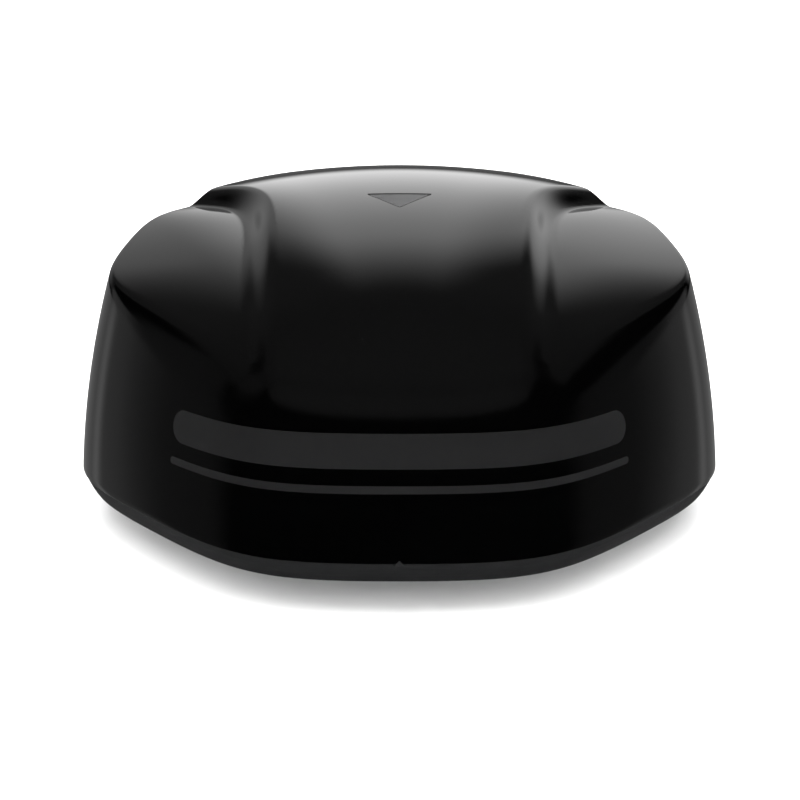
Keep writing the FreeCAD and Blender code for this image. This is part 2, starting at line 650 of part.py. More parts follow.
for x, y in ((64, 4), (64, 24), (96, 6)):
    core = rounded(x - 7, x + 7, y - 7, y + 7, BOARD_TOP, BOARD_TOP + 8, 3)
    inductors.append(core)
export("power_inductors", inductors)


def header(x0, x1, y0, y1):
    """Open-topped board socket."""
    shell = box(x0, x1, y0, y1, BOARD_TOP, BOARD_TOP + 8)
    return shell.cut(box(x0 + 1, x1 - 1, y0 + 1, y1 - 1, BOARD_TOP + 2, BOARD_TOP + 9))


NET_HEADER = (-78, -58, -102, -90)
MOTOR_HEADER = (-50, -38.5, -68, -60)
FEED_HEADER = (66, 82, -66, -58)
POWER_HEADER = (100, 124, -12, -4)
FEED_OUT = (72, 92, 34, 42)
headers = [header(*spot) for spot in (NET_HEADER, MOTOR_HEADER, FEED_HEADER, POWER_HEADER, FEED_OUT)]
export("board_headers", headers)

# sensor that sees the magnet once per turn, on a standing bracket
SENSE_X = magnet_x
SENSE_Y = magnet_y
stand = box(-126, -114, -26, 26, FLOOR_Z, FLOOR_Z + 2.0)
arm = box(-120, -114, -18, -6, FLOOR_Z, BELT_Z - 8)
reach_arm = box(-120, SENSE_X + 6, -18, -6, BELT_Z - 10, BELT_Z - 8)
bracket = fused([stand, arm.cut(box(-118, -110, -30, 0, FLOOR_Z + 2.0, BELT_Z - 10)), reach_arm])
for x, y in SENSE_FEET:
    bracket = bracket.cut(rod(1.6, x, y, 0, 20))
export("sensor_bracket", bracket)
small_screws += [cap_screw(x, y, FLOOR_Z + 2.0, 1.25, 5.0) for x, y in SENSE_FEET]
export("small_screws", small_screws)
sense_board = box(SENSE_X - 18, SENSE_X + 6, -17, -7, BELT_Z - 7.95, BELT_Z - 6.6)
sense_chip = box(SENSE_X - 2.5, SENSE_X + 2.5, SENSE_Y - 2.5, SENSE_Y + 2.5, BELT_Z - 6.6, BELT_Z - 3.4)
export("index_sensor", [sense_board, sense_chip])

# ---------------------------------------------------------------- rotary joint
stator = fused([tube(12.0, 2.2, 0, 0, 8.0, 9.6), tube(3.9, 2.2, 0, 0, 8.0, 70.0)])
export("rotary_joint_stator", stator)
JOINT_Z = 66.0
rotor = turned([(4.3, JOINT_Z + 0.4), (10.0, JOINT_Z + 0.4), (10.0, JOINT_Z + 3.0), (8.0, JOINT_Z + 3.0),
                (8.0, 86.0), (0.0, 86.0), (0.0, 78.0), (4.3, 78.0)])
export("rotary_joint_rotor", rotor)

# ---------------------------------------------------------------- rotating antenna
BRACKET_Z = TURN_TOP
seat = rounded(-60, 60, -30, 45, BRACKET_Z, BRACKET_Z + 2.5, 5)
upright = box(-60, 60, PANEL_Y, PANEL_Y + 3.0, BRACKET_Z, 126.0)
cheeks = []
for side in (-1, 1):
    corners = [V(side * 60, PANEL_Y + 2.8, BRACKET_Z), V(side * 60, 24, BRACKET_Z)]
    corners += [V(side * 60, 24, BRACKET_Z + 6), V(side * 60, PANEL_Y + 2.8, 118)]
    cheek = Part.Face(Part.makePolygon(corners + corners[:1])).extrude(V(-side * 2.5, 0, 0))
    cheeks.append(cheek)
antenna_bracket = fused([box(-60, 60, PANEL_Y, -20, BRACKET_Z, BRACKET_Z + 2.5), seat, upright] + cheeks)
antenna_bracket = antenna_bracket.cut(rod(11.0, 0, 0, 50, 80))
antenna_bracket = antenna_bracket.cut(rounded(-40, 40, PANEL_Y - 5, PANEL_Y + 8, 84, 112, 2))
for x, y in bracket_holes:
    antenna_bracket = antenna_bracket.cut(rod(1.75, x, y, 50, 80))
panel_screw_spots = [(sx * 50.0, z) for sx in (-1, 1) for z in (80.0, 118.0)]
for x, z in panel_screw_spots:
    antenna_bracket = antenna_bracket.cut(bar(1.75, (x, PANEL_Y - 2, z), (x, PANEL_Y + 6, z)))
export("antenna_bracket", antenna_bracket)
export("turntable_screws", [cap_screw(x, y, BRACKET_Z + 2.5, 1.5, 9.0) for x, y in bracket_holes])

TRAY_DEEP = 9.0
tray = box(-PANEL_HALF, PANEL_HALF, PANEL_Y - TRAY_DEEP, PANEL_Y, PANEL_LOW, PANEL_HIGH)
tray = tray.cut(box(-PANEL_HALF + 1.5, PANEL_HALF - 1.5, PANEL_Y - TRAY_DEEP - 1, PANEL_Y - 2.0,
                    PANEL_LOW + 1.5, PANEL_HIGH - 1.5))
for z in (PANEL_LOW, PANEL_HIGH - 1.5):
    low = z - 3.5 if z == PANEL_LOW else z
    front = PANEL_Y - TRAY_DEEP
    tray = tray.fuse(box(-PANEL_HALF, PANEL_HALF, front, front + 1.2, low, low + 5.0))
tray = tray.removeSplitter()
for x, z in panel_screw_spots:
    tray = tray.cut(bar(1.3, (x, PANEL_Y - 2.2, z), (x, PANEL_Y + 2, z)))
tray = tray.cut(bar(3.2, (0, PANEL_Y - 4, 98), (0, PANEL_Y + 2, 98)))
export("reflector_tray", tray)
export("panel_screws", [facing_y(cap_screw(x, 0, 0, 1.25, 4.9), 0).translated(V(0, PANEL_Y + 3.0, z))
                        for x, z in panel_screw_spots])

spacer = box(-PANEL_HALF + 2, PANEL_HALF - 2, PANEL_Y - 5.5, PANEL_Y - 2.05, PANEL_LOW + 2, PANEL_HIGH - 2)
spacer = spacer.cut(bar(8.0, (0, PANEL_Y - 8, 98), (0, PANEL_Y + 2, 98)))
for x, z in panel_screw_spots:
    spacer = spacer.cut(bar(2.5, (x, PANEL_Y - 8, z), (x, PANEL_Y, z)))
export("foam_spacer", spacer)
array = box(-PANEL_HALF + 2, PANEL_HALF - 2, PANEL_Y - 7.1, PANEL_Y - 5.52, PANEL_LOW + 2, PANEL_HIGH - 2)
export("array_board", array)
PATCH_COLUMNS = 20
PATCH_ROWS = 3
patches = []
for i in range(PATCH_COLUMNS):
    for j in range(PATCH_ROWS):
        x = (i - (PATCH_COLUMNS - 1) / 2) * 20.0
        z = (PANEL_LOW + PANEL_HIGH) / 2 + (j - (PATCH_ROWS - 1) / 2) * 18.0
        patches.append(box(x - 6.5, x + 6.5, PANEL_Y - 7.3, PANEL_Y - 7.12, z - 5.0, z + 5.0))
export("array_patches", patches)

# transceiver behind the panel
UNIT_Z0 = BRACKET_Z + 2.5
unit = rounded(-46, 46, 18.0, 43.0, UNIT_Z0 + 0.05, UNIT_Z0 + 46.0, 3)
for k in range(14):
    x = -42 + 6.2 * k
    unit = unit.cut(box(x, x + 3.4, 35.0, 45.0, UNIT_Z0 + 6, UNIT_Z0 + 50))
export("transceiver", unit)
lid = rounded(-44, 44, 16.4, 17.95, UNIT_Z0 + 2.0, UNIT_Z0 + 44.0, 0.6)
export("transceiver_lid", lid)
lid_screws = []
for x in (-38, 0, 38):
    for z in (UNIT_Z0 + 6, UNIT_Z0 + 40):
        head = bar(2.2, (x, 16.35, z), (x, 14.9, z))
        lid_screws.append(head.cut(box(x - 2.4, x + 2.4, 14.0, 15.4, z - 0.3, z + 0.3)))
export("lid_screws", lid_screws)
export("balance_weight", rounded(-20, 20, 21.0, 33.0, UNIT_Z0 + 46.1, UNIT_Z0 + 54.0, 2))

FEED_Z = 98.0
SEND_Z = UNIT_Z0 + 24.0
TAKE_Z = UNIT_Z0 + 14.0
panel_socket = bar(3.1, (0, PANEL_Y - 1.9, FEED_Z), (0, PANEL_Y + 6, FEED_Z))
panel_socket = fused([panel_socket, bar(4.0, (0, PANEL_Y + 0.1, FEED_Z), (0, PANEL_Y + 2, FEED_Z))])
unit_sockets = [bar(3.2, (20, 16.3, SEND_Z), (20, 9.5, SEND_Z))]
unit_sockets.append(bar(3.2, (-20, 16.3, TAKE_Z), (-20, 9.5, TAKE_Z)))
export("coax_sockets", [panel_socket] + unit_sockets)
array_route = [(0, PANEL_Y + 6.1, FEED_Z), (0, -20, FEED_Z), (5, -10, FEED_Z - 1), (14, -3, FEED_Z - 5)]
array_route += [(20, 2.2, SEND_Z), (20, 9.4, SEND_Z)]
export("array_lead", cable(array_route, 1.5))
joint_route = [(0, 0, 86.1), (0, 0, 91.5), (-5, -4, 96), (-13, -6, 93), (-19, -3, 85), (-20, 2.2, TAKE_Z)]
joint_route += [(-20, 9.4, TAKE_Z)]
export("joint_lead", cable(joint_route, 1.5))

# ---------------------------------------------------------------- leads fixed in the base
PLUG_Z = BOARD_TOP + 2.8
net_route = [(NET_X, RECESS_FRONT - 12.3, PORT_Z), (-34, 122, PORT_Z), (-54, 102, 14), (-76, 66, 13.5)]
net_route += [(-89, 24, 13.5), (-92, -12, 14), (-85, -40, 20), (-76, -62, 30), (-69, -80, 35)]
net_route += [(-68, -93, 31), (-68, -96, PLUG_Z)]
export("network_lead", cable(net_route, 2.5))
power_route = [(POWER_X, RECESS_FRONT - 12.3, PORT_Z), (34, 122, PORT_Z + 1), (58, 100, 17), (88, 72, 22)]
power_route += [(116, 44, 33), (126, 18, 40), (122, 0, 40), (114, -8, 33), (112, -8, PLUG_Z)]
export("power_lead", cable(power_route, 2.5))
feed_route = [(82, 38, PLUG_Z), (83, 37, 32), (92, 28, 41), (103, 4, 43), (102, -24, 43), (89, -48, 39)]
feed_route += [(76, -60, 31), (74, -62, PLUG_Z)]
export("board_lead", cable(feed_route, 1.8))
motor_route = [(-22.7, MOTOR_Y, MOTOR_LOW + 3.8), (-34, MOTOR_Y - 1, MOTOR_LOW + 3.8)]
motor_route += [(-47, 80, 13), (-57, 56, 13), (-61, 22, 13), (-60, -10, 14), (-54, -36, 22)]
motor_route += [(-47, -54, 30), (-44, -62, 29), (-44, -64, PLUG_Z)]
export("motor_lead", cable(motor_route, 1.6))
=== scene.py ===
import json
import math
import bmesh
import bpy
import numpy as np
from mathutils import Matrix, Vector


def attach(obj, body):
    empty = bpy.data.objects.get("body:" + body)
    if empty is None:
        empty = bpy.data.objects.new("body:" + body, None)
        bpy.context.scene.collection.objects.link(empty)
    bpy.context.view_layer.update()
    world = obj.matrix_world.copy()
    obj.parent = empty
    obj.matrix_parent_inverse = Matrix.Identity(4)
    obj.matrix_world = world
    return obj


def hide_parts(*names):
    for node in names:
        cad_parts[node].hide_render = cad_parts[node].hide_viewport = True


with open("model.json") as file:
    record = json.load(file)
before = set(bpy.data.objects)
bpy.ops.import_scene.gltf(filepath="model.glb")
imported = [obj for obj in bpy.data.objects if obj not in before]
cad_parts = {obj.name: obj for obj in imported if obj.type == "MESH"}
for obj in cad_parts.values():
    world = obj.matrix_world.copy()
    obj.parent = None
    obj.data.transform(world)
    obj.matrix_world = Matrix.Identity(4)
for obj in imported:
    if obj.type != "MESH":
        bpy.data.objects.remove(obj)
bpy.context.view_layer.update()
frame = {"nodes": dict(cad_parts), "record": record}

MM = 0.001

# ------------------------------------------------------------------ formulas of the outside (mm)
# the rounded eight-sided plan at the seam: distances of the four flat sides and the four diagonal ones
HALF_FLAT = 254.5
HALF_DIAG = 251.5
CORNER_POWER = 13.2
# the wall leans in above the seam, more and more towards the top
SEAM_Z = 38.3
DRAFT_LINEAR = 0.084
DRAFT_SQUARE = 0.000754
WALL = 3.2
# the top falls away near the front
DIP_FROM = 150.0
DIP_OVER = 86.0
DIP_DEPTH = 9.0
# heights along the middle: at the axis, slope towards the rear, curvature
SHOULDER = (203.5, 0.159, 0.000405)
ROOF = (235.5, 0.2, 0.0008)
ROOF_CROWN = 0.0006
CROWN_FROM = 236.0
CROWN_OVER = 120.0
# the shoulders swell a little towards the axis
SWELL = 12.0
SWELL_EDGE = 33.5
SWELL_EDGE_REAR = 15.0
SWELL_LIMIT = 1.2
# the two ridges where the roof steps down to the shoulders
RIDGE_FROM = 150.0
RIDGE_OVER = 258.0
RIDGE_HALF = 124.0
RIDGE_SPREAD = 0.113
RIDGE_FLARE = 60.0
FLARE_POWER = 7
RIDGE_BLEND = 22.0


def plan_radius(angle):
    total = 0.0
    for side in range(8):
        reach = HALF_FLAT if side % 2 == 0 else HALF_DIAG
        facing = np.maximum(0.0, np.cos(angle - side * math.pi / 4))
        total = total + (facing / reach) ** CORNER_POWER
    return total ** (-1.0 / CORNER_POWER)


def wall_inset(z):
    rise = np.maximum(z - SEAM_Z, 0.0)
    return DRAFT_LINEAR * rise + DRAFT_SQUARE * rise * rise


def ease(t):
    t = np.clip(t, 0.0, 1.0)
    return t * t * (3.0 - 2.0 * t)


def middle_height(line, y):
    """Height of the shoulder line or the roof line at y."""
    at_axis, slope, curvature = line
    dip = DIP_DEPTH * (np.maximum(0.0, -y - DIP_FROM) / DIP_OVER) ** 2
    return at_axis + slope * y - curvature * y * y - dip


def top_height(x, y):
    angle = np.arctan2(y, x)
    edge = plan_radius(angle) - (SWELL_EDGE + SWELL_EDGE_REAR * np.sin(angle))
    share = np.minimum(np.hypot(x, y) / edge, SWELL_LIMIT)
    low = middle_height(SHOULDER, y)
    high = middle_height(ROOF, y)
    swell = SWELL * np.tanh(np.maximum(high - low, 0.0) / SWELL)
    shoulder = low + swell * (1.0 - share * share)
    roof = high - ROOF_CROWN * x * x * ease((y + CROWN_FROM) / CROWN_OVER)
    t = np.maximum(y + RIDGE_FROM, 0.0) / RIDGE_OVER
    half_width = RIDGE_HALF + RIDGE_SPREAD * y + RIDGE_FLARE * t ** FLARE_POWER
    flare = RIDGE_SPREAD + FLARE_POWER * RIDGE_FLARE / RIDGE_OVER * t ** (FLARE_POWER - 1)
    outside = (np.abs(x) - half_width) / np.sqrt(1.0 + flare * flare)
    return shoulder + (roof - shoulder) * ease(-outside / RIDGE_BLEND)


# ------------------------------------------------------------------ materials
METAL_SHARE = 0.62  # metals are partly diffuse, because the studio that they mirror is mostly black
NOISE_LOW = 0.3
NOISE_HIGH = 0.7
GLOSSY_BELOW = 0.15  # smoother finishes vary over wide patches and not by their grain


def new_material(name):
    made = bpy.data.materials.new(name)
    made.use_nodes = True
    return made, made.node_tree.nodes, made.node_tree.links


def surface(name, colour, rough, metal=0.0, spread=0.06, mottle=40.0, rough_spread=0.06, grain=900.0,
            bump=0.02, stretch=(1, 1, 1), specular=0.5, second=None):
    """One procedural finish: mottled colour, uneven roughness and a fine grain."""
    made, nodes, links = new_material(name)
    shader = nodes["Principled BSDF"]
    shader.inputs["Metallic"].default_value = metal * METAL_SHARE
    shader.inputs["Specular IOR Level"].default_value = specular
    place = nodes.new("ShaderNodeTexCoord")
    mapping = nodes.new("ShaderNodeMapping")
    mapping.inputs["Scale"].default_value = stretch
    links.new(place.outputs["Object"], mapping.inputs["Vector"])

    def noise(scale, detail):
        node = nodes.new("ShaderNodeTexNoise")
        node.inputs["Scale"].default_value = scale
        node.inputs["Detail"].default_value = detail
        links.new(mapping.outputs["Vector"], node.inputs["Vector"])
        return node.outputs["Fac"]

    wide = noise(mottle, 4.0)
    ramp = nodes.new("ShaderNodeValToRGB")
    dark = [max(0.0, c * (1.0 - spread)) for c in colour]
    light = [min(1.0, c * (1.0 + spread)) for c in (second or colour)]
    ramp.color_ramp.elements[0].position = NOISE_LOW
    ramp.color_ramp.elements[1].position = NOISE_HIGH
    ramp.color_ramp.elements[0].color = (*dark, 1)
    ramp.color_ramp.elements[1].color = (*light, 1)
    links.new(wide, ramp.inputs["Fac"])
    links.new(ramp.outputs["Color"], shader.inputs["Base Color"])
    fine = noise(grain, 3.0)
    spread_node = nodes.new("ShaderNodeMapRange")
    spread_node.inputs["From Min"].default_value = NOISE_LOW
    spread_node.inputs["From Max"].default_value = NOISE_HIGH
    spread_node.inputs["To Min"].default_value = max(0.02, rough - rough_spread)
    spread_node.inputs["To Max"].default_value = min(1.0, rough + rough_spread)
    links.new(wide if rough < GLOSSY_BELOW else fine, spread_node.inputs["Value"])
    links.new(spread_node.outputs["Result"], shader.inputs["Roughness"])
    bump_node = nodes.new("ShaderNodeBump")
    bump_node.inputs["Strength"].default_value = bump
    bump_node.inputs["Distance"].default_value = 0.001
    links.new(fine, bump_node.inputs["Height"])
    links.new(bump_node.outputs["Normal"], shader.inputs["Normal"])
    return made


FINISH = {
    "base_plastic": dict(colour=(0.0085, 0.0087, 0.0091), rough=0.55, grain=1600, bump=0.25, mottle=25),
    "seal_rubber": dict(colour=(0.02, 0.02, 0.02), rough=0.7, grain=2500, bump=0.2),
    "mount_steel": dict(colour=(0.6, 0.59, 0.57), rough=0.28, metal=1, grain=1800, bump=0.08,
                        stretch=(1, 1, 14)),
    "screw_steel": dict(colour=(0.6, 0.59, 0.57), rough=0.25, metal=1, grain=2200, bump=0.06,
                        stretch=(1, 1, 8)),
    "connector_plastic": dict(colour=(0.02, 0.02, 0.021), rough=0.45, grain=2200, bump=0.15),
    "nut_brass": dict(colour=(0.72, 0.53, 0.24), rough=0.28, metal=1, grain=1800, bump=0.08,
                      stretch=(1, 1, 12)),
    "contact_gold": dict(colour=(0.86, 0.66, 0.28), rough=0.2, metal=1, grain=1500, bump=0.03),
    "vent_plastic": dict(colour=(0.04, 0.04, 0.042), rough=0.5, grain=2000, bump=0.15),
    "membrane": dict(colour=(0.8, 0.8, 0.78), rough=0.85, grain=4000, bump=0.4),
    "cast_aluminium": dict(colour=(0.56, 0.57, 0.58), rough=0.45, metal=1, grain=1400, bump=0.35,
                           spread=0.1),
    "bearing_steel": dict(colour=(0.66, 0.66, 0.67), rough=0.18, metal=1, grain=1500, bump=0.04,
                          stretch=(1, 1, 20)),
    "ball_steel": dict(colour=(0.76, 0.76, 0.78), rough=0.08, metal=1, grain=900, bump=0.01),
    "belt_rubber": dict(colour=(0.022, 0.022, 0.024), rough=0.65, grain=3000, bump=0.3),
    "plate_steel": dict(colour=(0.58, 0.59, 0.6), rough=0.32, metal=1, grain=700, bump=0.06,
                        spread=0.12, stretch=(1, 12, 1)),
    "motor_black": dict(colour=(0.03, 0.03, 0.034), rough=0.4, grain=1500, bump=0.2, metal=0.2),
    "board_green": dict(colour=(0.012, 0.1, 0.045), second=(0.02, 0.15, 0.07), rough=0.3, grain=500,
                        bump=0.06, mottle=220),
    "tinned_steel": dict(colour=(0.66, 0.66, 0.64), rough=0.3, metal=1, grain=600, bump=0.05,
                         spread=0.1),
    "black_anodised": dict(colour=(0.03, 0.03, 0.034), rough=0.35, metal=0.6, grain=1600, bump=0.12,
                           stretch=(1, 6, 1)),
    "chip_black": dict(colour=(0.02, 0.02, 0.021), rough=0.5, grain=2600, bump=0.2),
    "capacitor_sleeve": dict(colour=(0.02, 0.028, 0.07), rough=0.35, grain=1200, bump=0.05),
    "ferrite": dict(colour=(0.08, 0.08, 0.082), rough=0.6, grain=1800, bump=0.3),
    "header_plastic": dict(colour=(0.72, 0.69, 0.6), rough=0.45, grain=1500, bump=0.08),
    "lead_black": dict(colour=(0.02, 0.02, 0.02), rough=0.5, grain=1600, bump=0.1),
    "lead_red": dict(colour=(0.28, 0.015, 0.015), rough=0.45, grain=1600, bump=0.1),
    "lead_grey": dict(colour=(0.16, 0.16, 0.17), rough=0.5, grain=1600, bump=0.1),
    "lead_blue": dict(colour=(0.015, 0.05, 0.2), rough=0.4, grain=1600, bump=0.1),
    "arrow_grey": dict(colour=(0.056, 0.056, 0.057), rough=0.6, grain=1800, bump=0.1, specular=0.15),
    "shaft_steel": dict(colour=(0.64, 0.64, 0.65), rough=0.2, metal=1, grain=1500, bump=0.05,
                        stretch=(1, 1, 18)),
    "clip_steel": dict(colour=(0.16, 0.16, 0.17), rough=0.35, metal=1, grain=1500, bump=0.08),
    "pulley_aluminium": dict(colour=(0.68, 0.69, 0.71), rough=0.33, metal=1, grain=1600, bump=0.1,
                             spread=0.05),
    "magnet_nickel": dict(colour=(0.68, 0.66, 0.62), rough=0.12, metal=1, grain=900, bump=0.02),
    "bracket_aluminium": dict(colour=(0.62, 0.63, 0.64), rough=0.36, metal=1, grain=800, bump=0.08,
                              stretch=(8, 1, 1)),
    "tray_aluminium": dict(colour=(0.66, 0.64, 0.55), rough=0.36, metal=1, grain=800, bump=0.08,
                           stretch=(8, 1, 1), spread=0.1),
    "foam_white": dict(colour=(0.8, 0.8, 0.78), rough=0.9, grain=1800, bump=0.5, mottle=300),
    "array_laminate": dict(colour=(0.36, 0.32, 0.2), second=(0.42, 0.37, 0.25), rough=0.45, grain=900,
                           bump=0.08, mottle=300),
    "patch_copper": dict(colour=(0.74, 0.38, 0.2), rough=0.25, metal=1, grain=1200, bump=0.05,
                         spread=0.12),
    "weight_steel": dict(colour=(0.5, 0.5, 0.5), rough=0.4, metal=1, grain=900, bump=0.12, spread=0.1),
    # for the pieces made in this script
    "cover_gloss": dict(colour=(0.0003, 0.0003, 0.00032), rough=0.06, spread=0.1, mottle=9.0,
                        rough_spread=0.012, grain=260.0, bump=0.004),
    "cover_inside": dict(colour=(0.012, 0.012, 0.013), rough=0.5, grain=1500, bump=0.2),
    "front_mark": dict(colour=(0.0062, 0.0062, 0.0064), rough=0.35, grain=1800, bump=0.05),
    # painted shadow: a dark strip at the arrow's back that stands in for the shade a recess's rear wall
    # would cast
    "arrow_painted_shadow": dict(colour=(0.004, 0.004, 0.004), rough=0.6, grain=1800, specular=0.1),
}
MATERIALS = {slot: surface(slot, **finish) for slot, finish in FINISH.items()}

slot_of = {entry["node"]: entry["material_slot"] for entry in frame["record"]["subparts"]}
for name, node in frame["nodes"].items():
    node.data.materials.clear()
    node.data.materials.append(MATERIALS[slot_of[name]])


# ------------------------------------------------------------------ mesh helpers
def make_object(name, verts, faces, material, smooth=True):
    """Mesh object from millimetre points."""
    mesh = bpy.data.meshes.new(name)
    scaled = [tuple(c * MM for c in v) for v in verts]
    mesh.from_pydata(scaled, [], [tuple(int(i) for i in f) for f in faces])
    mesh.validate()
    mesh.update()
    if smooth:
        mesh.shade_smooth()
    mesh.materials.append(material)
    made = bpy.data.objects.new(name, mesh)
    bpy.context.scene.collection.objects.link(made)
    return made


def fix_normals(obj):
    build = bmesh.new()
    build.from_mesh(obj.data)
    bmesh.ops.recalc_face_normals(build, faces=build.faces)
    build.to_mesh(obj.data)
    build.free()


def joined(solids):
    """Vertices and faces of several solids as one list each."""
    verts, faces = [], []
    for more_verts, more_faces in solids:
        shift = len(verts)
        verts += more_verts
        faces += [tuple(i + shift for i in face) for face in more_faces]
    return verts, faces


def loops_joined(count, start, after):
    """Faces between two closed loops of count points whose numbers begin at start and after."""
    faces = []
    for c in range(count):
        d = (c + 1) % count
        faces.append((start + c, start + d, after + d, after + c))
    return faces


def rows_joined(last, fresh):
    """Faces between two closed rows, each a list of point numbers."""
    faces = []
    for a in range(len(last)):
        b = (a + 1) % len(last)
        faces.append((last[a], last[b], fresh[b], fresh[a]))
    return faces


# ------------------------------------------------------------------ cover
PATCH_SHARE = 0.28  # the square patch in the middle of the top reaches this far out
SETBACK_SIDE = 3.0
SETBACK_FRONT = 19.0
FORWARD_FROM = 0.25
FORWARD_OVER = 0.65
TOP_DROP = 1.05  # the top slopes, so its inner face lies lower by more than the wall thickness
BEND_FALL = 1.1
BEND_GRIP = 0.62
CREASE_GUESS = 180.0
CREASE_ROUNDS = 60
FLANGE_INSET = 24.0
FLANGE_HIGH = 5.0
FLANGE_TOP = SEAM_Z + FLANGE_HIGH
# the rounded lower edge and the flange, as (inset, height) from the outside in
EDGE_ROWS = ((0.2, SEAM_Z + 0.25), (0.75, SEAM_Z), (FLANGE_INSET - 0.5, SEAM_Z),
             (FLANGE_INSET, SEAM_Z + 0.5), (FLANGE_INSET, FLANGE_TOP - 0.5),
             (FLANGE_INSET - 0.5, FLANGE_TOP))
EDGE_TOP = SEAM_Z + 0.7
GLOSSY_ROWS = 2  # rows of points past the outer skin that still carry the gloss
SHARP_COVER = math.radians(38)


def disc_to_edge(count, rings):
    """Square patch in the middle and rings around it, so that there is no pole.

    Points are (angle, share): share 0 is the middle and 1 the edge."""
    grid = np.linspace(-1.0, 1.0, count + 1)
    points = []
    index = {}
    for j in range(count + 1):
        for i in range(count + 1):
            u, v = grid[i], grid[j]
            x = u * math.sqrt(1.0 - 0.5 * v * v)
            y = v * math.sqrt(1.0 - 0.5 * u * u)
            index[i, j] = len(points)
            points.append((math.atan2(y, x), PATCH_SHARE * math.hypot(x, y)))
    faces = []
    for j in range(count):
        for i in range(count):
            faces.append((index[i, j], index[i + 1, j], index[i + 1, j + 1], index[i, j + 1]))
    last = [index[i, 0] for i in range(count)]
    last += [index[count, j] for j in range(count)]
    last += [index[i, count] for i in range(count, 0, -1)]
    last += [index[0, j] for j in range(count, 0, -1)]
    around = [points[k][0] for k in last]
    for k in range(1, rings + 1):
        share = PATCH_SHARE + (1.0 - PATCH_SHARE) * k / rings
        fresh = list(range(len(points), len(points) + len(around)))
        points += [(angle, share) for angle in around]
        faces += rows_joined(last, fresh)
        last = fresh
    return np.array(points), faces, np.array(around), last


def edge_setback(angle):
    """Size of the rounding between top and wall: tight at the sides, broad at the front."""
    forward = -np.sin(angle)
    return SETBACK_SIDE + SETBACK_FRONT * ease((forward - FORWARD_FROM) / FORWARD_OVER)


def shell_skin(count, rings, bend_rows, wall_rows, drop, floor_z):
    """Outer skin of the cover (drop 0) or its inner skin (drop = wall thickness).

    It is the top, a rounding in bend_rows rows and the wall in wall_rows rows down to floor_z."""
    placings, faces, around, last = disc_to_edge(count, rings)

    def top(x, y):
        return top_height(x, y) - drop * TOP_DROP

    def wall_radius(angle, z):
        return plan_radius(angle) - wall_inset(z) - drop

    def crease(angle):
        """Radius and height where wall and top would meet, and the size of the rounding there."""
        z = np.full_like(angle, CREASE_GUESS)
        for _ in range(CREASE_ROUNDS):
            r = wall_radius(angle, z)
            z = 0.5 * z + 0.5 * top(r * np.cos(angle), r * np.sin(angle))
        return wall_radius(angle, z), z, np.maximum(edge_setback(angle) - drop, 1.0)

    angle, share = placings[:, 0], placings[:, 1]
    crease_r, crease_z, size = crease(angle)
    r = share * (crease_r - size)
    x, y = r * np.cos(angle), r * np.sin(angle)
    verts = list(np.stack([x, y, top(x, y)], axis=1))

    # the rounding is a Bezier curve in the (radius, height) plane of every angle
    crease_r, crease_z, size = crease(around)
    cosine, sine = np.cos(around), np.sin(around)

    def top_at(radius):
        return top(radius * cosine, radius * sine)

    start_r = crease_r - size
    start = np.stack([start_r, top_at(start_r)], axis=1)
    end_z = crease_z - size * BEND_FALL
    end = np.stack([wall_radius(around, end_z), end_z], axis=1)
    corner = np.stack([crease_r, crease_z], axis=1)
    top_slope = top_at(start_r + 0.5) - top_at(start_r - 0.5)
    wall_slope = wall_radius(around, end_z + 1.0) - wall_radius(around, end_z)
    lead_in = np.stack([np.ones_like(start_r), top_slope], axis=1)
    lead_out = np.stack([wall_slope, np.ones_like(end_z)], axis=1)
    for way in (lead_in, lead_out):
        way /= np.linalg.norm(way, axis=1)[:, None]
    first = start + lead_in * (np.linalg.norm(corner - start, axis=1) * BEND_GRIP)[:, None]
    second = end + lead_out * (np.linalg.norm(corner - end, axis=1) * BEND_GRIP)[:, None]

    def add_row(radius, height):
        nonlocal last
        fresh = list(range(len(verts), len(verts) + len(around)))
        verts.extend(np.stack([radius * cosine, radius * sine, height], axis=1))
        faces.extend(rows_joined(last, fresh))
        last = fresh

    for k in range(1, bend_rows + 1):
        t = k / bend_rows
        s = 1 - t
        point = s ** 3 * start + 3 * s ** 2 * t * first + 3 * s * t * t * second + t ** 3 * end
        add_row(point[:, 0], point[:, 1])
    for k in range(1, wall_rows + 1):
        z = end_z + (floor_z - end_z) * k / wall_rows
        add_row(wall_radius(around, z), z)
    return verts, faces, last


def build_cover():
    """The cover as one closed shell: outer skin, edge, flange and inner skin."""
    outer, faces, outer_rim = shell_skin(96, 56, 12, 36, 0.0, EDGE_TOP)
    count = len(outer_rim)
    verts = [tuple(v) for v in outer]

    def ring_at(inset, z):
        fresh = []
        for k in outer_rim:
            angle = math.atan2(outer[k][1], outer[k][0])
            r = float(plan_radius(angle)) - inset
            fresh.append(len(verts))
            verts.append((r * math.cos(angle), r * math.sin(angle), z))
        return fresh

    last = outer_rim
    for inset, z in EDGE_ROWS:
        fresh = ring_at(inset, z)
        faces += rows_joined(last, fresh)
        last = fresh
    inner, inner_faces, inner_rim = shell_skin(96, 40, 6, 20, WALL, FLANGE_TOP)
    shift = len(verts)
    verts += [tuple(v) for v in inner]
    faces += [tuple(reversed([i + shift for i in face])) for face in inner_faces]
    faces += rows_joined(last, [i + shift for i in inner_rim])
    faces = [tuple(reversed(face)) for face in faces]
    cover = make_object("cover_shell", verts, faces, MATERIALS["cover_gloss"])
    cover.data.materials.append(MATERIALS["cover_inside"])
    for face in cover.data.polygons:
        if min(face.vertices) >= len(outer) + count * GLOSSY_ROWS:
            face.material_index = 1
    cover.data.set_sharp_from_angle(angle=SHARP_COVER)
    return cover


cover_shell = build_cover()
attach(cover_shell, "cover")
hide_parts("radome_cover")

